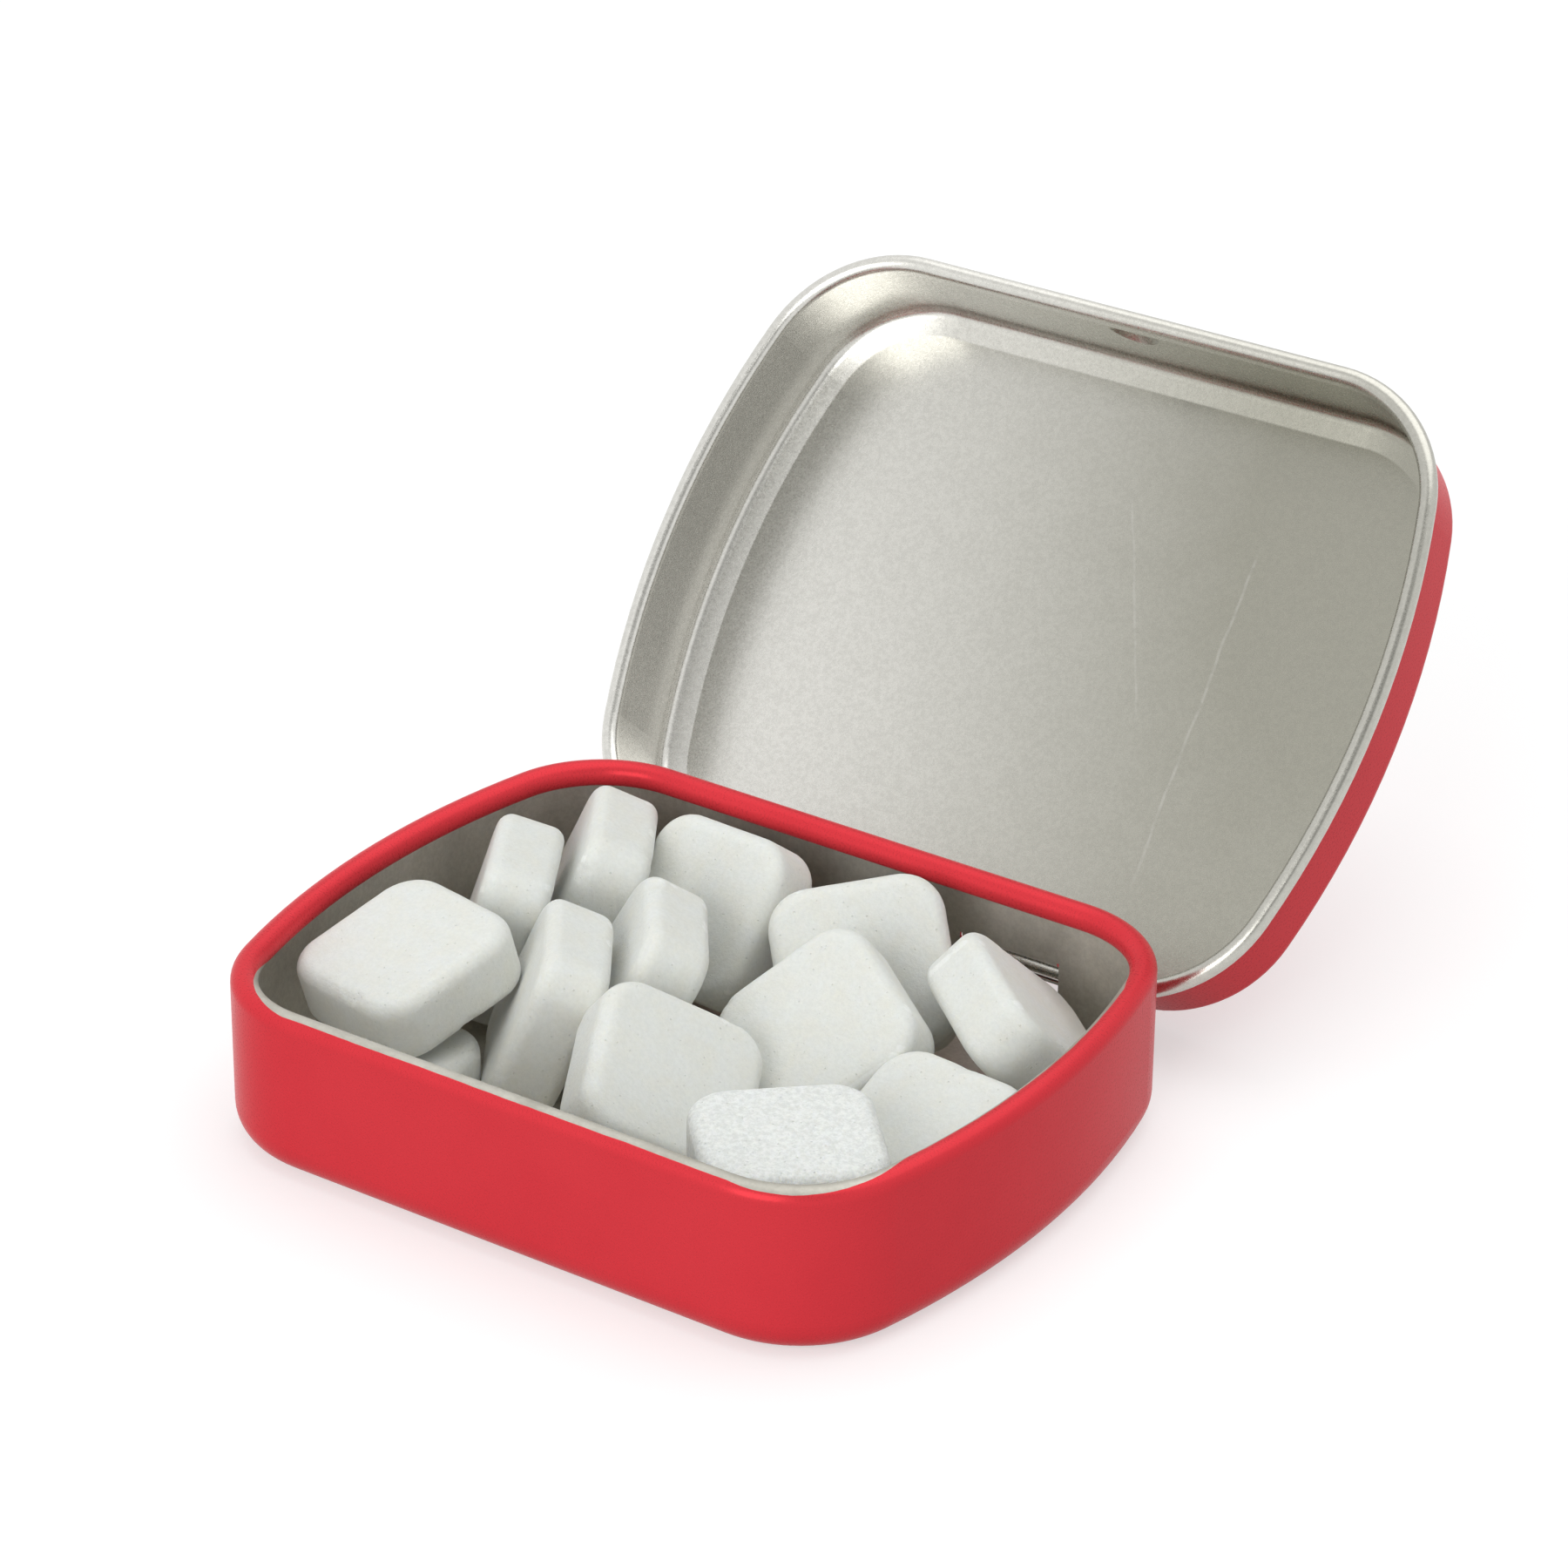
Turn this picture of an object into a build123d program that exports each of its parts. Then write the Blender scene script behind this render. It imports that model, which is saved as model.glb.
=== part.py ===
"""Hinged mint tin standing open, with its mints loose in the tray.

Millimetres. +Z is up, +Y runs back to the hinge, +X runs to the right along it.
The origin is the centre of the tray's underside.
"""
from build123d import *
from itertools import combinations
from math import asin, degrees, radians, sqrt
import os

import numpy as np

os.makedirs("parts", exist_ok=True)

# Tinplate that the tray and the lid are pressed from
sheet = 0.2

# Tray, measured on its outside face
tray_half_width = 28.7
tray_half_depth = 22.7
tray_height = 12.5
corner_radius = 9.3
side_bow_radius = 64.0
foot_radius = 2.5
rim_curl_radius = 0.95
rim_curl_turn = 300.0

# Lid: how it sits over the tray when it is closed
lid_side_gap = 0.3
lid_set_forward = 0.15
lid_rim_gap = 0.3
lid_corner_radius = 1.1
shoulder_width = 2.1
shoulder_rise = 0.5
crease_radius = 0.7
bead_radius = 0.65
bead_turn = 300.0
open_angle = 132.0

# Thumb dimple in the middle of the lid's front
dimple_width = 4.5
dimple_depth = 0.9

# Hinge: two tongues lanced from the tray's back wall and curled over the lid's bead
hinge_height = 5.5
tongue_spacing = 22.4
tongue_width = 7.9
tongue_bend_radius = 0.3
curl_gap = 0.15
curl_offset_back = 0.06
curl_drop = 0.08
curl_turn = 190.0
lance_gap = 0.15
slot_side_gap = 0.3
slot_height = 1.05
cut_margin = 0.05

# Mints: as wide as the tray is high, or narrower where a smaller tray leaves less room for the heap
mint_of_width_share = 0.44
mint_of_depth_share = 0.555
mint_thickness_share = 0.4
mint_corner_share = 0.24
mint_edge_share = 0.096
mint_gap = 0.08
mint_plan_room = min(mint_of_width_share * tray_half_width, mint_of_depth_share * tray_half_depth)
mint_width = min(tray_height, mint_plan_room)
mint_thickness = mint_thickness_share * mint_width
mint_corner_radius = mint_corner_share * mint_width
mint_edge_radius = mint_edge_share * mint_width

# How the mints are let sink into a heap
core_points = 56
settle_steps = 260
sink_steps = 200
sink_share = 0.012

# The bead is the hinge's pin, so its centre is the hinge axis
bead_reach = lid_side_gap + bead_radius
hinge_back = tray_half_depth + bead_reach - lid_set_forward
hinge_axis = Axis((0, hinge_back, hinge_height), (1, 0, 0))


def outline(grow, forward=0):
    """Plan of the tin: straight front and back, bowed ends, round corners."""
    corner_y = tray_half_depth - corner_radius
    bow_x = tray_half_width - side_bow_radius
    corner_x = bow_x + sqrt((side_bow_radius - corner_radius) ** 2 - corner_y**2)
    turn = degrees(asin(corner_y / (side_bow_radius - corner_radius)))
    corner = corner_radius + grow
    bow = side_bow_radius + grow
    front = -corner_y - corner
    with BuildLine(Plane.XY.shift_origin((0, -forward))) as edge:
        Line((0, front), (corner_x, front))
        CenterArc((corner_x, -corner_y), corner, -90, 90 - turn)
        CenterArc((bow_x, 0), bow, -turn, 2 * turn)
        CenterArc((corner_x, corner_y), corner, turn, 90 - turn)
        Line((corner_x, -front), (-corner_x, -front))
        CenterArc((-corner_x, corner_y), corner, 90, 90 - turn)
        CenterArc((-bow_x, 0), bow, 180 - turn, 2 * turn)
        CenterArc((-corner_x, -corner_y), corner, 180 + turn, 90 - turn)
        Line((-corner_x, front), (0, front))
    return edge.wires()[0]


def section_plane(forward=0):
    """Plane across the middle of the front wall: x outwards from the tray, y upwards."""
    return Plane((0, -tray_half_depth - forward, 0), x_dir=(0, -1, 0), z_dir=(-1, 0, 0))


def panel(grow, bottom, forward=0):
    """Flat sheet that fills the outline."""
    with BuildSketch(Plane.XY.offset(bottom)) as plan:
        make_face(outline(grow, forward).edges())
    extrude(plan.sketch, amount=sheet)


def bend(centre, radius, start, turn):
    """Section of sheet bent round a centre, with this radius on its outer face."""
    with BuildLine() as ring:
        outer = CenterArc(centre, radius, start, turn)
        inner = CenterArc(centre, radius - sheet, start, turn)
        Line(outer @ 0, inner @ 0)
        Line(outer @ 1, inner @ 1)
    make_face(ring.edges())


# Tray section: foot, wall, and the rim curled inwards
with BuildSketch(section_plane()) as tray_section:
    bend((-foot_radius, foot_radius), foot_radius, -90, 90)
    with BuildLine():
        Polyline(
            (0, foot_radius),
            (0, tray_height - rim_curl_radius),
            (-sheet, tray_height - rim_curl_radius),
            (-sheet, foot_radius),
            close=True,
        )
    make_face()
    bend((-rim_curl_radius, tray_height - rim_curl_radius), rim_curl_radius, 0, rim_curl_turn)

# Hinge tongue, seen from its end: out of the wall over the bead, then curled round it
tongue_top = hinge_height - curl_drop + bead_radius + curl_gap + sheet
curl_centre = (hinge_back + curl_offset_back, hinge_height - curl_drop)
curl_radius = tongue_top - curl_centre[1]
root_centre = (tray_half_depth + tongue_bend_radius, tongue_top + tongue_bend_radius)
tongue_sides = (-tongue_spacing / 2, tongue_spacing / 2)
with BuildSketch(Plane.YZ) as tongue_section:
    bend(root_centre, tongue_bend_radius + sheet, 180, 90)
    with BuildLine():
        Polyline(
            (root_centre[0], tongue_top),
            (curl_centre[0], tongue_top),
            (curl_centre[0], tongue_top - sheet),
            (root_centre[0], tongue_top - sheet),
            close=True,
        )
    make_face()
    bend(curl_centre, curl_radius, 90, -curl_turn)
flat_length = curl_centre[0] - root_centre[0]
bent_length = radians(curl_turn) * (curl_radius - sheet / 2)
window_top = root_centre[1]
window_height = tongue_bend_radius + sheet + flat_length + bent_length

with BuildPart() as tray:
    sweep(sections=tray_section.sketch, path=outline(0))
    panel(-foot_radius, 0)
    wall_middle = tray_half_depth - sheet / 2
    with Locations([(side, wall_middle, window_top - window_height / 2) for side in tongue_sides]):
        Box(tongue_width + 2 * lance_gap, sheet + 2 * cut_margin, window_height, mode=Mode.SUBTRACT)
    with Locations([(side, 0, 0) for side in tongue_sides]):
        add(extrude(tongue_section.sketch, amount=tongue_width / 2, both=True, mode=Mode.PRIVATE))
tray.part.label = "tray"
export_step(tray.part, "parts/tray.step")

# Lid section: bead rolled outwards, skirt, and the sloped shoulder up to the raised top
skirt_face = lid_side_gap + sheet
shoulder_height = tray_height + lid_rim_gap + sheet
lid_top = shoulder_height + shoulder_rise
top_edge = skirt_face - shoulder_width - crease_radius


def lid_face(depth):
    """Line of the lid's section, this deep in the sheet from its painted face."""
    slope = shoulder_rise / shoulder_width
    slant = depth * sqrt(1 + slope**2)
    corner = (skirt_face - depth, shoulder_height + depth * slope - slant)
    crease = (skirt_face - (shoulder_rise - depth + slant) / slope, lid_top - depth)
    start = (skirt_face - depth, hinge_height)
    end = (top_edge, lid_top - depth)
    radii = [lid_corner_radius - depth, crease_radius - depth]
    return FilletPolyline(start, corner, crease, end, radius=radii)


with BuildSketch(section_plane(lid_set_forward)) as lid_section:
    with BuildLine():
        painted = lid_face(0)
        bare = lid_face(sheet)
        Line(painted @ 0, bare @ 0)
        Line(painted @ 1, bare @ 1)
    make_face()
    bend((bead_reach, hinge_height), bead_radius, 180, bead_turn)

# Thumb dimple: a ball's cap pressed outwards from the skirt, level with the top of the bead
lid_front = -tray_half_depth - skirt_face - lid_set_forward
dimple_radius = (dimple_width**2 / 4 + dimple_depth**2) / (2 * dimple_depth)
dimple_floor = hinge_height + bead_radius
dimple_back = lid_front - dimple_depth + dimple_radius


def half_ball(depth):
    """Upper half of the dimple's ball, this deep in the sheet, cut off at the skirt's bare face."""
    with BuildPart() as ball:
        with Locations((0, dimple_back, dimple_floor)):
            Sphere(dimple_radius - depth)
        split(bisect_by=Plane.XY.offset(dimple_floor + depth), keep=Keep.TOP)
        split(bisect_by=Plane.XZ.offset(-lid_front - sheet), keep=Keep.TOP)
    return ball.part


with BuildPart() as closed_lid:
    sweep(sections=lid_section.sketch, path=outline(0, lid_set_forward))
    panel(top_edge, lid_top - sheet, lid_set_forward)
    skirt_back = tray_half_depth + lid_side_gap - lid_set_forward
    slot_width = tongue_width + 2 * slot_side_gap
    slot_middle = hinge_height + slot_height / 2
    with Locations([(side, skirt_back + sheet / 2, slot_middle) for side in tongue_sides]):
        Box(slot_width, sheet + 2 * cut_margin, slot_height, mode=Mode.SUBTRACT)
    add(half_ball(0))
    add(half_ball(sheet), mode=Mode.SUBTRACT)

with BuildPart() as lid:
    add(closed_lid.part.rotate(hinge_axis, -open_angle))
lid.part.label = "lid"
export_step(lid.part, "parts/lid.step")

# One mint: a square tablet with round corners and round edges
with BuildPart() as mint:
    with BuildSketch(Plane.XY.offset(-mint_thickness / 2)):
        RectangleRounded(mint_width, mint_width, mint_corner_radius)
    extrude(amount=mint_thickness)
    fillet(mint.faces().sort_by(Axis.Z)[0].edges(), mint_edge_radius)
    fillet(mint.faces().sort_by(Axis.Z)[-1].edges(), mint_edge_radius)

# The mint's core is what its rounding rolls over: all of the mint lies within the edge radius of it
core_half = mint_width / 2 - mint_edge_radius
core_corner = mint_corner_radius - mint_edge_radius
core_level = mint_thickness / 2 - mint_edge_radius
with BuildSketch() as core_plan:
    RectangleRounded(2 * core_half, 2 * core_half, core_corner)
core_ring = core_plan.sketch.faces()[0].outer_wire().positions([k / core_points for k in range(core_points)])
core = np.array([(p.X, p.Y, level) for p in core_ring for level in (-core_level, 0, core_level)])

mint_span = sqrt(2) * mint_width + mint_gap

# Corner of the tray's outline, for the distance in from its outer face
corner_y = tray_half_depth - corner_radius
bow_x = tray_half_width - side_bow_radius
corner_x = bow_x + sqrt((side_bow_radius - corner_radius) ** 2 - corner_y**2)
ceiling = lid_top - sheet


def from_core(points):
    """Distance from the core of a mint that lies flat at the origin."""
    side = np.abs(points[:, :2]) - core_half + core_corner
    plan = np.linalg.norm(np.maximum(side, 0), axis=1) + np.minimum(side.max(axis=1), 0) - core_corner
    level = np.abs(points[:, 2]) - core_level
    return np.hypot(np.maximum(plan, 0), np.maximum(level, 0)) + np.minimum(np.maximum(plan, level), 0)


def from_wall(points):
    """Distance in from the tray's outer face."""
    x = np.abs(points[:, 0])
    y = np.abs(points[:, 1])
    straight = np.minimum(tray_half_depth - y, side_bow_radius - np.hypot(x - bow_x, y))
    rounded = corner_radius - np.hypot(x - corner_x, y - corner_y)
    return np.where((x > corner_x) & (y > corner_y), rounded, straight)


def push(distance, points, wanted):
    """Move that brings the nearest of these points this far away, or nothing if it is far enough."""
    away = distance(points)
    nearest = away.argmin()
    if away[nearest] >= wanted:
        return np.zeros(3)
    nudge = mint_gap / 100
    slope = (distance(points[nearest] + nudge * np.eye(3)) - away[nearest]) / nudge
    return (wanted - away[nearest]) * slope / np.linalg.norm(slope)


def part_pair(centres, axes, one, other):
    """Moves two mints apart where they are too close."""
    if np.linalg.norm(centres[one] - centres[other]) > mint_span:
        return
    for a, b in ((one, other), (other, one)):
        seen = (centres[a] + core @ axes[a] - centres[b]) @ axes[b].T
        move = push(from_core, seen, 2 * mint_edge_radius + mint_gap) @ axes[b] / 2
        centres[a] += move
        centres[b] -= move


def keep_inside(centre, axes):
    """Place of a mint once the floor, the closed lid and the curled rim have pushed it in."""
    reach = mint_edge_radius + mint_gap
    points = centre + core @ axes
    lift = max(sheet + reach - points[:, 2].min(), 0) - max(points[:, 2].max() + reach - ceiling, 0)
    return centre + (0, 0, lift) + push(from_wall, points, 2 * rim_curl_radius + reach)


def settled(centres, axes):
    """Places of the mints after they have sunk into a heap, none turning."""
    for step in range(settle_steps):
        centres[:, 2] -= sink_share * mint_thickness * max(1 - step / sink_steps, 0)
        for one, other in combinations(range(len(centres)), 2):
            part_pair(centres, axes, one, other)
        centres = np.array([keep_inside(centre, turn) for centre, turn in zip(centres, axes)])
    return centres


# Where each mint starts to sink, as shares of the tray's half width, half depth and height,
# then the way its face leans, how far it leans, and its turn on its face, in degrees
mint_place_shares = [
    (-0.71, -0.63, 0.23, 0, 0, 8),
    (0.61, -0.61, 0.28, 160, 4, 12),
    (-0.58, -0.18, 0.54, 214, 66, 0),
    (-0.33, 0.04, 0.54, 216, 60, 0),
    (-0.76, 0.34, 0.54, 210, 72, 0),
    (-0.62, 0.56, 0.54, 212, 66, 0),
    (-0.23, 0.66, 0.54, -104, 52, 6),
    (-0.73, -0.28, 0.73, 246, 15, 10),
    (0.05, -0.16, 0.55, -10, 41, 42),
    (0.42, 0.36, 0.54, -95, 41, -30),
    (0.26, 0.80, 0.54, -60, 50, 12),
    (0.68, 0.60, 0.54, 45, 46, 12),
    (0.72, -0.04, 0.42, 256, 26, 6),
    (0.58, -0.68, 0.70, 0, 0, 42),
]
mint_turns = [row[3:] for row in mint_place_shares]
mint_planes = [Plane(Location((0, 0, 0), turn, Intrinsic.ZYZ)) for turn in mint_turns]
mint_axes = [np.array([tuple(p.x_dir), tuple(p.y_dir), tuple(p.z_dir)]) for p in mint_planes]
tray_room = np.array([tray_half_width, tray_half_depth, tray_height])
mint_centres = settled(np.array([row[:3] for row in mint_place_shares]) * tray_room, mint_axes)
for number, (centre, turn) in enumerate(zip(mint_centres, mint_turns), start=1):
    name = f"mint_{number:02}"
    with BuildPart() as placed_mint:
        with Locations(Location(tuple(centre), turn, Intrinsic.ZYZ)):
            add(mint.part)
    placed_mint.part.label = name
    export_step(placed_mint.part, f"parts/{name}.step")
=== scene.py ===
"""Looks of the open mint tin: lacquered tinplate, bare tin inside, and chalky mints."""

from math import cos, radians, sin
from random import Random

import bmesh
import bpy
from mathutils import Matrix, Vector, noise


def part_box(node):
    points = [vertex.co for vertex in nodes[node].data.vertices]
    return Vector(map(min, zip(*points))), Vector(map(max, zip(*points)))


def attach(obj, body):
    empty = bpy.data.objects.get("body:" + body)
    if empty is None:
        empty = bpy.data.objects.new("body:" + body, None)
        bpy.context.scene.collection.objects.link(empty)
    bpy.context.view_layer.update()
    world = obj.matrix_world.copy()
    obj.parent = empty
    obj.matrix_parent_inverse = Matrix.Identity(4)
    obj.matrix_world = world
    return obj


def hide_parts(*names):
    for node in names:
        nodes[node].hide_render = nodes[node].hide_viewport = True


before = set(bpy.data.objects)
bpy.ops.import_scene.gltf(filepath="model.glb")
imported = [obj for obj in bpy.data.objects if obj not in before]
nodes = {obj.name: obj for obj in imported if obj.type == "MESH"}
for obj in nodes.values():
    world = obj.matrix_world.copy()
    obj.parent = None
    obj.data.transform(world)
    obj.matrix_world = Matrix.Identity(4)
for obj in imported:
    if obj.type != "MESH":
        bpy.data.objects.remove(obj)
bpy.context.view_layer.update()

# ---------------------------------------------------------------- tray
# Shallow box pressed from one sheet of tinplate, printed red outside and left bare inside, with
# its rim curled inwards. Two tongues cut from the back wall hold the lid. Places on the sheet are
# in millimetres, and a grain is its lumps per millimetre, detail and roughness.
MM = 0.001
lacquer_red = (0.68, 0.043, 0.056, 1)
lacquer_deep = (0.66, 0.040, 0.053, 1)
lacquer_roughness = 0.28
lacquer_smoothest = lacquer_roughness - 0.03
lacquer_roughest = lacquer_roughness + 0.05
lacquer_sheen = 0.22
mottle_grain = (0.16, 3)
mottle_span = (0.35, 0.75)
fleck_grey = (0.22, 0.215, 0.19, 1)
fleck_grain = (2.6, 3, 0.8)
fleck_span = (0.35, 0.65)
fleck_share = 0.16
speck_grain = (5.5, 2, 0.7)
speck_height = 0.35
bare_speck_span = (0.25, 0.75)
bare_unevenness = 0.04
red_speck_span = (0.2, 0.8)
peel_grain = (1.1, 2)
peel_depth = 0.006 * MM
sheet_specular = 0.03
tray_tin = (0.74, 0.72, 0.66, 1)
tray_tin_dull = (0.40, 0.388, 0.34, 1)
tray_roughness = 0.55
tray_middle = (0, 0, 6)
tray_corner = (18.0, 13.4, 0)
cloud_grain = (0.35, 4, 0.6)
cloud_span = (0.3, 0.8)
cloud_dulling = 0.3
rim_bottom = 10.55
rim_radius = 0.95
rim_fade = 0.4
rim_dulling = 0.7
print_end = 1.3
print_shift = (-1.0, 1.85, 0)
print_wander = 0.2
print_wander_scale = 0.3


def fill(tree, node, socket, source):
    """Links a socket to another, or gives it a plain value."""
    if isinstance(source, bpy.types.NodeSocket):
        tree.links.new(source, node.inputs[socket])
    else:
        node.inputs[socket].default_value = source


def calc(tree, operation, *terms):
    """One sum on numbers."""
    node = tree.nodes.new("ShaderNodeMath")
    node.operation = operation
    for socket, term in enumerate(terms):
        fill(tree, node, socket, term)
    return node.outputs[0]


def vector(tree, operation, *terms):
    """One sum on vectors. A dot product comes out as a number."""
    node = tree.nodes.new("ShaderNodeVectorMath")
    node.operation = operation
    for socket, term in enumerate(terms):
        fill(tree, node, socket, term)
    return node.outputs["Value" if operation == "DOT_PRODUCT" else "Vector"]


def parts_of(tree, source):
    """The x, y and z of a vector."""
    node = tree.nodes.new("ShaderNodeSeparateXYZ")
    tree.links.new(source, node.inputs[0])
    return node.outputs


def ramp(tree, source, low, high, start=0.0, end=1.0):
    """Number that goes smoothly from start to end as the source goes from low to high."""
    node = tree.nodes.new("ShaderNodeMapRange")
    node.interpolation_type = "SMOOTHSTEP"
    for socket, value in enumerate((source, low, high, start, end)):
        fill(tree, node, socket, value)
    return node.outputs[0]


def between(tree, share, one, other):
    """Number that goes from one to the other with the share."""
    node = tree.nodes.new("ShaderNodeMix")
    for socket, value in zip((0, 2, 3), (share, one, other)):
        fill(tree, node, socket, value)
    return node.outputs[0]


def blend(tree, share, one, other):
    """Colour that goes from one to the other with the share."""
    node = tree.nodes.new("ShaderNodeMix")
    node.data_type = "RGBA"
    for socket, value in zip((0, 6, 7), (share, one, other)):
        fill(tree, node, socket, value)
    return node.outputs[2]


def grain(tree, place, scale, detail=2.0, roughness=0.5):
    """Soft noise, from 0 to 1."""
    node = tree.nodes.new("ShaderNodeTexNoise")
    fill(tree, node, "Vector", place)
    fill(tree, node, "Scale", scale)
    fill(tree, node, "Detail", detail)
    fill(tree, node, "Roughness", roughness)
    return node.outputs[0]


def placed(tree, turn=0.0, pivot=(0, 0, 0)):
    """Place in millimetres and facing on a piece, both turned about X back to the closed tin."""
    source = tree.nodes.new("ShaderNodeTexCoord")
    place = tree.nodes.new("ShaderNodeMapping")
    shift = Vector(pivot) - Matrix.Rotation(turn, 3, "X") @ Vector(pivot)
    place.inputs["Location"].default_value = shift
    place.inputs["Scale"].default_value = (1 / MM,) * 3
    facing = tree.nodes.new("ShaderNodeMapping")
    facing.vector_type = "VECTOR"
    for node, output in ((place, "Object"), (facing, "Normal")):
        node.inputs["Rotation"].default_value = (turn, 0, 0)
        tree.links.new(source.outputs[output], node.inputs["Vector"])
    return place.outputs[0], facing.outputs[0]


def new_material(name):
    """New material with its tree and its shader."""
    material = bpy.data.materials.new(name)
    material.use_nodes = True
    tree = material.node_tree
    return material, tree, tree.nodes["Principled BSDF"]


def bump(tree, shader, height, distance):
    """Raises the surface by the height, in metres at most the distance."""
    node = tree.nodes.new("ShaderNodeBump")
    fill(tree, node, "Height", height)
    fill(tree, node, "Distance", distance)
    fill(tree, node, "Strength", 1.0)
    tree.links.new(node.outputs[0], shader.inputs["Normal"])


def tinplate(name, place_of, is_printed, bare, dull_and_shaded_tin, roughness, dulling_and_painted_shade, scratches=()):
    """Tinplate that is lacquered where it is printed, and elsewhere bare, with dull patches and,
    where a piece gives one, a painted shade of its reflection.
    """
    material, tree, shader = new_material(name)
    place, facing = place_of(tree)
    printed = is_printed(tree, place, facing)
    mottle = grain(tree, place, *mottle_grain)
    peel = grain(tree, place, *peel_grain)
    speck = grain(tree, place, *speck_grain)
    fleck = grain(tree, place, *fleck_grain)
    red = blend(tree, ramp(tree, mottle, *mottle_span), lacquer_red, lacquer_deep)
    red_rough = ramp(tree, speck, *red_speck_span, lacquer_smoothest, lacquer_roughest)
    # On the lid the dull colour also carries the painted reflection shade.
    tin = blend(tree, dulling_and_painted_shade(tree, place), bare, dull_and_shaded_tin)
    tin = blend(tree, ramp(tree, fleck, *fleck_span, 0.0, fleck_share), tin, fleck_grey)
    tin_rough = ramp(tree, speck, *bare_speck_span,
                     roughness - bare_unevenness, roughness + bare_unevenness)
    for line in scratches:
        share = scratch(tree, place, *line)
        tin = blend(tree, share, tin, scratch_grey)
        tin_rough = calc(tree, "ADD", tin_rough, calc(tree, "MULTIPLY", share, scratch_roughness))
    metal = calc(tree, "SUBTRACT", 1.0, calc(tree, "MULTIPLY", printed, 1 - lacquer_sheen))
    fill(tree, shader, "Base Color", blend(tree, printed, tin, red))
    fill(tree, shader, "Metallic", metal)
    fill(tree, shader, "Roughness", between(tree, printed, tin_rough, red_rough))
    fill(tree, shader, "Specular IOR Level", sheet_specular)
    height = calc(tree, "ADD", peel, calc(tree, "MULTIPLY", speck, speck_height))
    bump(tree, shader, height, peel_depth)
    return material


def tray_printed(tree, place, facing):
    """1 on the outside of the tray and over its rim as far as the askew print goes."""
    out = vector(tree, "DOT_PRODUCT", facing, vector(tree, "SUBTRACT", place, tray_middle))
    wall = calc(tree, "GREATER_THAN", out, 0.0)
    rim = calc(tree, "GREATER_THAN", parts_of(tree, place)[2], rim_bottom)
    beyond = vector(tree, "SUBTRACT", vector(tree, "ABSOLUTE", place), tray_corner)
    beyond = vector(tree, "MAXIMUM", beyond, (0, 0, 0))
    side = vector(tree, "MULTIPLY", vector(tree, "SIGN", place), (1, 1, 0))
    outwards = vector(tree, "NORMALIZE", vector(tree, "MULTIPLY", beyond, side))
    inwards = calc(tree, "MULTIPLY", vector(tree, "DOT_PRODUCT", facing, outwards), -1.0)
    angle = calc(tree, "ARCTAN2", inwards, parts_of(tree, facing)[2])
    arc = calc(tree, "MULTIPLY", angle, rim_radius)
    wander = calc(tree, "MULTIPLY", grain(tree, place, print_wander_scale), print_wander)
    reach = calc(tree, "ADD", vector(tree, "DOT_PRODUCT", outwards, print_shift), print_end)
    over = calc(tree, "LESS_THAN", arc, calc(tree, "ADD", reach, wander))
    return calc(tree, "ADD", calc(tree, "MULTIPLY", rim, over),
                calc(tree, "MULTIPLY", calc(tree, "SUBTRACT", 1.0, rim), wall))


def tray_dulled(tree, place):
    """Soft cloudy patches, and duller on the rim."""
    cloud = ramp(tree, grain(tree, place, *cloud_grain), *cloud_span, 0.0, cloud_dulling)
    height = parts_of(tree, place)[2]
    rim = ramp(tree, height, rim_bottom - rim_fade, rim_bottom, 0.0, rim_dulling)
    return calc(tree, "ADD", cloud, rim)


def dress(piece, material):
    """Gives a piece its one material."""
    piece.data.materials.clear()
    piece.data.materials.append(material)


tray_tinplate = tinplate("tray_tinplate", placed, tray_printed,
                         tray_tin, tray_tin_dull, tray_roughness, tray_dulled)
dress(nodes["tray"], tray_tinplate)

# ---------------------------------------------------------------- lid
# Second sheet of tinplate, with a raised top and a skirt whose edge is rolled outwards to a bare
# bead. The bead turns in the tray's tongues. The lid stands open, so its scratched bare inside
# faces the front, and its places are worked out on the closed tin.
opened = radians(132)
hinge_line = (0, 23.5, 5.5)
lid_middle = (0, -0.15, 8)
lid_tin = (0.74, 0.73, 0.69, 1)
# Dull tin, which is also the dark end of the lid's painted reflection shade.
lid_tin_dull_and_reflection_shade = (0.355, 0.347, 0.295, 1)
lid_roughness = 0.28
bead_top = 6.17
bead_fade = 0.2
bead_darkening_share = 0.55
haze_grain = (0.3, 3)
haze_span = (0.3, 0.7)
haze = 0.015
# Painted reflection shade: the bare lid is darkened towards the right and towards its free edge.
painted_reflection_to_right = (-28, 22)
painted_reflection_to_free_edge = (-18, 18, 0.13, -0.07)
# Start, end, width and strength of each scratch. The last is a small smudge.
scratch_lines = [
    ((12.84, -12.57, 0), (13.62, 16.27, 0), 0.16, 0.28),
    ((1.26, -13.72, 0), (9.3, 4.1, 0), 0.13, 0.25),
    ((-3.4, -19.6, 0), (-3.1, -18.4, 0), 0.5, 0.2),
]
scratch_grey = (0.56, 0.55, 0.52, 1)
scratch_roughness = 0.25
scratch_core = 0.3
scratch_wobble = 0.5
scratch_wobble_scale = 0.25
scratch_fade_in = (0.0, 0.1)
scratch_fade_out = (0.85, 1.0)
gap_grain = (1.4, 3)
gap_span = (0.35, 0.6)
gap_share = 0.25


def wobble(tree, place):
    """Small soft move that bends a scratch."""
    node = tree.nodes.new("ShaderNodeTexNoise")
    fill(tree, node, "Vector", place)
    fill(tree, node, "Scale", scratch_wobble_scale)
    centred = vector(tree, "SUBTRACT", node.outputs["Color"], (0.5,) * 3)
    return vector(tree, "MULTIPLY", centred, (scratch_wobble,) * 3)


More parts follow.
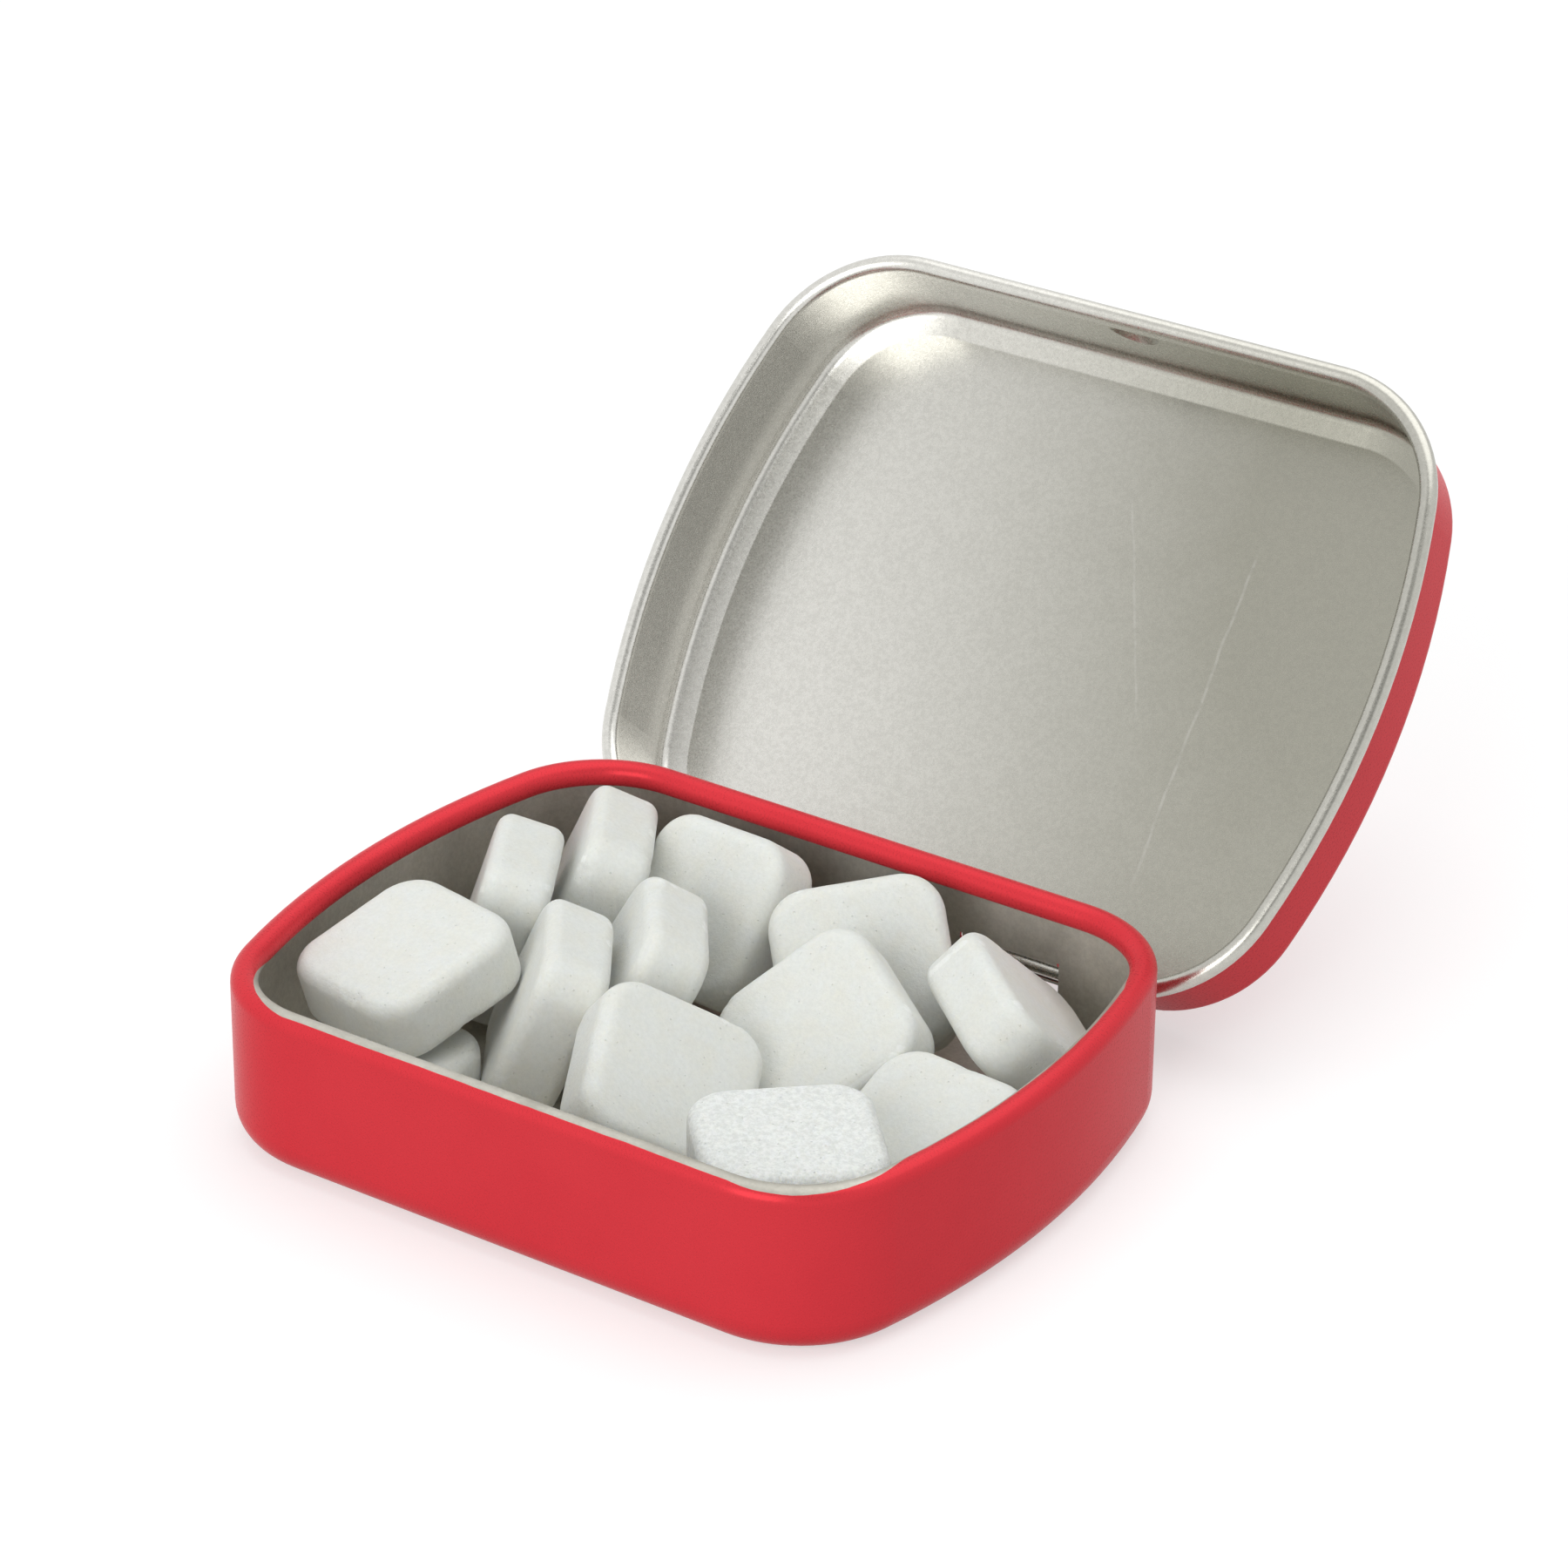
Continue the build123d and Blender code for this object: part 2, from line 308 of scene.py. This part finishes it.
def scratch(tree, place, start, end, width, strength):
    """The strength along a fine line inside the lid that wanders and breaks a little."""
    along = Vector(end) - Vector(start)
    across = (-along.y / along.length, along.x / along.length, 0)
    near = vector(tree, "ADD", vector(tree, "SUBTRACT", place, start), wobble(tree, place))
    share = calc(tree, "DIVIDE", vector(tree, "DOT_PRODUCT", near, tuple(along)),
                 along.length_squared)
    side = calc(tree, "ABSOLUTE", vector(tree, "DOT_PRODUCT", near, across))
    line = ramp(tree, side, width * scratch_core, width, 1.0, 0.0)
    ends = calc(tree, "MULTIPLY", ramp(tree, share, *scratch_fade_in),
                ramp(tree, share, *scratch_fade_out, 1.0, 0.0))
    gaps = ramp(tree, grain(tree, place, *gap_grain), *gap_span, gap_share * strength, strength)
    return calc(tree, "MULTIPLY", calc(tree, "MULTIPLY", line, ends), gaps)


def lid_place(tree):
    """The lid as it lies when it is closed."""
    return placed(tree, opened, hinge_line)


def lid_printed(tree, place, facing):
    """1 on the outside of the lid above its bead."""
    out = vector(tree, "DOT_PRODUCT", facing, vector(tree, "SUBTRACT", place, lid_middle))
    above = calc(tree, "GREATER_THAN", parts_of(tree, place)[2], bead_top)
    return calc(tree, "MULTIPLY", calc(tree, "GREATER_THAN", out, 0.0), above)


def lid_haze_and_painted_reflection(tree, place):
    """Painted reflection shade: darker towards the right and the free edge, with a faint haze of
    uneven tone, and brighter on the bead.
    """
    x, y, z = parts_of(tree, place)
    share = ramp(tree, grain(tree, place, *haze_grain), *haze_span, -haze, haze)
    share = calc(tree, "ADD", share, ramp(tree, x, *painted_reflection_to_right))
    share = calc(tree, "ADD", share, ramp(tree, y, *painted_reflection_to_free_edge))
    bead = ramp(tree, z, bead_top - bead_fade, bead_top + bead_fade, bead_darkening_share, 1.0)
    return calc(tree, "MULTIPLY", share, bead)


lid_tinplate = tinplate("lid_tinplate", lid_place, lid_printed,
                        lid_tin, lid_tin_dull_and_reflection_shade, lid_roughness, lid_haze_and_painted_reflection, scratch_lines)
dress(nodes["lid"], lid_tinplate)

# ---------------------------------------------------------------- mints
# Square tablets pressed from sugar, chalk white, with soft round edges, small chips and a fine
# grain. They lie loose in the tray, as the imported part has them, and the front one is coarser.
mint_side = 12.5
mint_thickness = 5.0
mint_corner = 3.0
mint_corner_segments = 10
mint_edge = 1.1
mint_edge_segments = 8
mint_voxel = 0.2
mint_white = (0.78, 0.788, 0.758, 1)
mint_cream = (0.775, 0.77, 0.715, 1)
# Whitest tone: the painted highlight on the rounded edges, and the whiter coarse front mint.
mint_highlight_and_coarse_white = (0.93, 0.94, 0.92, 1)
# Grey for the sugar's dark specks, and for the painted shade in the pits.
mint_grey_speck_and_pit_shade = (0.50, 0.51, 0.48, 1)
mint_roughness = 0.82
mint_specular = 0.25
mint_softness = 0.4
mint_soft_reach = (0.0022, 0.0019, 0.0014)
mint_relief = 0.06 * MM
cream_grain = (0.5, 3)
cream_span = (0.3, 0.75)
ridge_highlight_span = (0.5, 0.60)
ridge_highlight_share = 0.55
sugar_grain = (3.2, 4, 0.7)
sugar_span = (0.35, 0.65)
sugar_share = 0.14
pit_scale = 1.6
pit_span = (0.02, 0.14)
pit_shade_share = 0.2
pit_depth = 0.8
coarse_share = 0.5
front_coarseness = 1.6
front_corner = Vector((1, -1, 1.5))
square_enough = 0.05
noise_steps = (7.3, 3.1, 5.7)
# Lumps per millimetre and height of the unevenness
lump_waves = ((0.35, 0.02), (1.3, 0.008))
chips = 5
chip_stray = 0.8
chip_reach = (0.9, 1.6)
chip_depth = (0.15, 0.32)
chip_slope = 1.5
chip_ragged = (1.7, 0.5)


def put(name, data):
    """New object in the scene."""
    thing = bpy.data.objects.new(name, data)
    bpy.context.scene.collection.objects.link(thing)
    return thing


def pressed_mint():
    """Mesh of one smooth mint that lies flat at the origin, in even small faces."""
    bm = bmesh.new()
    bmesh.ops.create_cube(bm, size=1)
    size = (mint_side * MM, mint_side * MM, mint_thickness * MM)
    bmesh.ops.scale(bm, vec=size, verts=bm.verts)
    upright = [e for e in bm.edges if abs(e.verts[0].co.z - e.verts[1].co.z) > MM]
    bmesh.ops.bevel(bm, geom=upright, offset=mint_corner * MM, segments=mint_corner_segments,
                    affect="EDGES", profile=0.5, material=-1)
    around = [e for e in bm.edges if abs(e.verts[0].co.z - e.verts[1].co.z) < MM / 10]
    bmesh.ops.bevel(bm, geom=around, offset=mint_edge * MM, segments=mint_edge_segments,
                    affect="EDGES", profile=0.5, material=-1)
    mesh = bpy.data.meshes.new("mint_blank")
    bm.to_mesh(mesh)
    bm.free()
    blank = put("mint_blank", mesh)
    remesh = blank.modifiers.new("even", "REMESH")
    remesh.mode = "VOXEL"
    remesh.voxel_size = mint_voxel * MM
    depsgraph = bpy.context.evaluated_depsgraph_get()
    even = bpy.data.meshes.new_from_object(blank.evaluated_get(depsgraph))
    bpy.data.objects.remove(blank)
    return even


def lie_of(node):
    """Where a CAD mint lies: its middle, and the turn that lays a flat mint as it lies."""
    flats = {}
    for face in node.data.polygons:
        key = tuple(round(n, 1) for n in face.normal)
        total, area = flats.get(key, (Vector(), 0))
        flats[key] = (total + face.normal * face.area, area + face.area)
    largest = [total.normalized() for total, area in sorted(flats.values(), key=lambda f: -f[1])]
    up = largest[0]
    side = next(n for n in largest if abs(n.dot(up)) < square_enough)
    side = (side - up * side.dot(up)).normalized()
    turn = Matrix((side, up.cross(side), up))
    places = [turn @ v.co for v in node.data.vertices]
    middle = Vector([(min(p[k] for p in places) + max(p[k] for p in places)) / 2
                     for k in range(3)])
    return turn.inverted() @ middle, turn.inverted()


def worn(mesh, seed):
    """Gives a mint its own uneven faces and chipped edges."""
    random = Random(seed)
    apart = Vector([seed * step for step in noise_steps])
    knocks = []
    for _ in range(chips):
        edge = Vector((random.choice((-1, 1)), random.uniform(-chip_stray, chip_stray),
                       random.choice((-1, 1))))
        spot = Vector((edge.x * mint_side, edge.y * mint_side, edge.z * mint_thickness)) / 2
        if random.random() < 0.5:
            spot.x, spot.y = spot.y, spot.x
        knocks.append((spot, random.uniform(*chip_reach), random.uniform(*chip_depth)))
    ragged_scale, ragged = chip_ragged
    outwards = [v.normal.copy() for v in mesh.vertices]
    for v, out in zip(mesh.vertices, outwards):
        place = v.co / MM
        lumps = sum(noise.noise(place * scale + apart) * height for scale, height in lump_waves)
        for spot, reach, depth in knocks:
            near = (place - spot).length
            if near < 2 * reach:
                near += noise.noise(place * ragged_scale + apart) * ragged
                lumps -= depth * max(1 - near / reach, 0) ** chip_slope
        v.co += out * lumps * MM


def near_corner(name):
    """How far a mint lies towards the tray's front right corner."""
    return (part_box(name)[0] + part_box(name)[1]).dot(front_corner)


mint_sugar, tree, shader = new_material("mint_sugar")
place, facing = placed(tree)
sugar = grain(tree, place, *sugar_grain)
cream = ramp(tree, grain(tree, place, *cream_grain), *cream_span)
coarse = tree.nodes.new("ShaderNodeAttribute")
coarse.attribute_name = "coarse"
coarse = coarse.outputs["Fac"]
grainy = calc(tree, "ADD", 1.0, coarse)
speckle = calc(tree, "MULTIPLY", ramp(tree, sugar, *sugar_span, sugar_share, 0.0), grainy)
shape = tree.nodes.new("ShaderNodeNewGeometry")
# Painted highlight: the rounded edges, found by their pointiness, are made whiter as if they
# catch the light.
painted_ridge_highlight = ramp(tree, shape.outputs["Pointiness"], *ridge_highlight_span, 0.0, ridge_highlight_share)
pit = tree.nodes.new("ShaderNodeTexVoronoi")
fill(tree, pit, "Vector", place)
fill(tree, pit, "Scale", pit_scale)
pits = ramp(tree, pit.outputs["Distance"], *pit_span, 1.0, 0.0)
colour = blend(tree, cream, mint_white, mint_cream)
colour = blend(tree, painted_ridge_highlight, colour, mint_highlight_and_coarse_white)
colour = blend(tree, calc(tree, "MULTIPLY", coarse, coarse_share), colour, mint_highlight_and_coarse_white)
colour = blend(tree, speckle, colour, mint_grey_speck_and_pit_shade)
# Painted shade: the pits are darkened in colour, as shade would fall in them.
colour = blend(tree, calc(tree, "MULTIPLY", pits, pit_shade_share), colour, mint_grey_speck_and_pit_shade)
fill(tree, shader, "Base Color", colour)
fill(tree, shader, "Roughness", mint_roughness)
fill(tree, shader, "Specular IOR Level", mint_specular)
fill(tree, shader, "Subsurface Weight", mint_softness)
fill(tree, shader, "Subsurface Radius", mint_soft_reach)
relief = calc(tree, "SUBTRACT", sugar, calc(tree, "MULTIPLY", pits, pit_depth))
bump(tree, shader, calc(tree, "MULTIPLY", relief, grainy), mint_relief)

blank = pressed_mint()
mint_nodes = sorted(name for name in nodes if name.startswith("mint_"))
front_mint = max(mint_nodes, key=near_corner)
for seed, name in enumerate(mint_nodes, start=1):
    middle, turn = lie_of(nodes[name])
    mesh = blank.copy()
    mesh.name = f"sugar_{name}"
    worn(mesh, seed)
    coarseness = front_coarseness if name == front_mint else 0.0
    grains = mesh.attributes.new("coarse", "FLOAT", "POINT")
    grains.data.foreach_set("value", [coarseness] * len(mesh.vertices))
    mesh.transform(Matrix.Translation(middle) @ turn.to_4x4())
    mesh.shade_smooth()
    tablet = put(f"sugar_{name}", mesh)
    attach(tablet, "tin_tray")
    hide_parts(name)
    dress(tablet, mint_sugar)

# ---------------------------------------------------------------- floor, light and camera
# Plain white table under the tin. A broad soft lamp hangs above and behind it, a smaller one
# stands in front, and the room is pale, but dimmer on one side so that the tin inside shows it.
floor_reach = 3
floor_paint = (0.52, 0.52, 0.52, 1)
floor_roughness = 0.9
floor_specular = 0.1
floor_glow = 0.54
white = (1, 1, 1, 1)
room_dim = (0.35, 0.35, 0.34, 1)
room_fill = (0.54, 0.56, 0.56, 1)
dim_side = tuple(Vector((0.35, -0.60, 0.72)).normalized())
dim_span = (0.80, 0.97)
lamp_aim = Vector((0, 0, 0.01))
# Place and size in metres, and power in watts
lamps = {
    "key": ((0.05, 0.35, 1.1), 1.4, 6.8),
    "front": ((0.02, -0.92, 0.40), 0.7, 4.7),
}
azimuth = radians(34.07)
elevation = radians(27.36)
roll = radians(0.55)
camera_aim = Vector((0, 0, 0.007))
camera_distance = 0.37692
camera_right = 0.006075
camera_up = 0.016757
camera_nearest = 0.01
photo_width = 1800
photo_focus = 6326.3
film_width = 36

bm = bmesh.new()
bmesh.ops.create_grid(bm, x_segments=1, y_segments=1, size=floor_reach)
mesh = bpy.data.meshes.new("floor")
bm.to_mesh(mesh)
bm.free()
floor = put("floor", mesh)


def seen(tree):
    """1 where the camera, a mirror or glass looks."""
    rays = tree.nodes.new("ShaderNodeLightPath").outputs
    mirrored = calc(tree, "MAXIMUM", rays["Is Glossy Ray"], rays["Is Transmission Ray"])
    return calc(tree, "MAXIMUM", rays["Is Camera Ray"], mirrored)


floor_white, tree, shader = new_material("floor_white")
fill(tree, shader, "Base Color", floor_paint)
fill(tree, shader, "Roughness", floor_roughness)
fill(tree, shader, "Specular IOR Level", floor_specular)
fill(tree, shader, "Emission Color", white)
fill(tree, shader, "Emission Strength", calc(tree, "MULTIPLY", seen(tree), floor_glow))
floor.data.materials.append(floor_white)

world = bpy.data.worlds.new("room")
bpy.context.scene.world = world
world.use_nodes = True
tree = world.node_tree
towards = tree.nodes.new("ShaderNodeTexCoord").outputs["Generated"]
dim_share = ramp(tree, vector(tree, "DOT_PRODUCT", towards, dim_side), *dim_span)
room = blend(tree, dim_share, white, room_dim)
fill(tree, tree.nodes["Background"], "Color", blend(tree, seen(tree), room_fill, room))

for name, (place, size, power) in lamps.items():
    light = bpy.data.lights.new(name, "AREA")
    light.size = size
    light.energy = power
    lamp = put(name, light)
    lamp.location = place
    lamp.rotation_mode = "QUATERNION"
    lamp.rotation_quaternion = (lamp_aim - Vector(place)).to_track_quat("-Z", "Y")

back = Vector((sin(azimuth) * cos(elevation), -cos(azimuth) * cos(elevation), sin(elevation)))
right = Vector((cos(azimuth), sin(azimuth), 0))
up = back.cross(right)
right, up = right * cos(roll) + up * sin(roll), up * cos(roll) - right * sin(roll)
stand = camera_aim + back * camera_distance + right * camera_right + up * camera_up
camera = put("camera", bpy.data.cameras.new("camera"))
camera.matrix_world = Matrix.Translation(stand) @ Matrix((right, up, back)).transposed().to_4x4()
camera.data.sensor_width = film_width
camera.data.lens = photo_focus / photo_width * film_width
camera.data.clip_start = camera_nearest
bpy.context.scene.camera = camera
bpy.context.scene.view_settings.view_transform = "Standard"
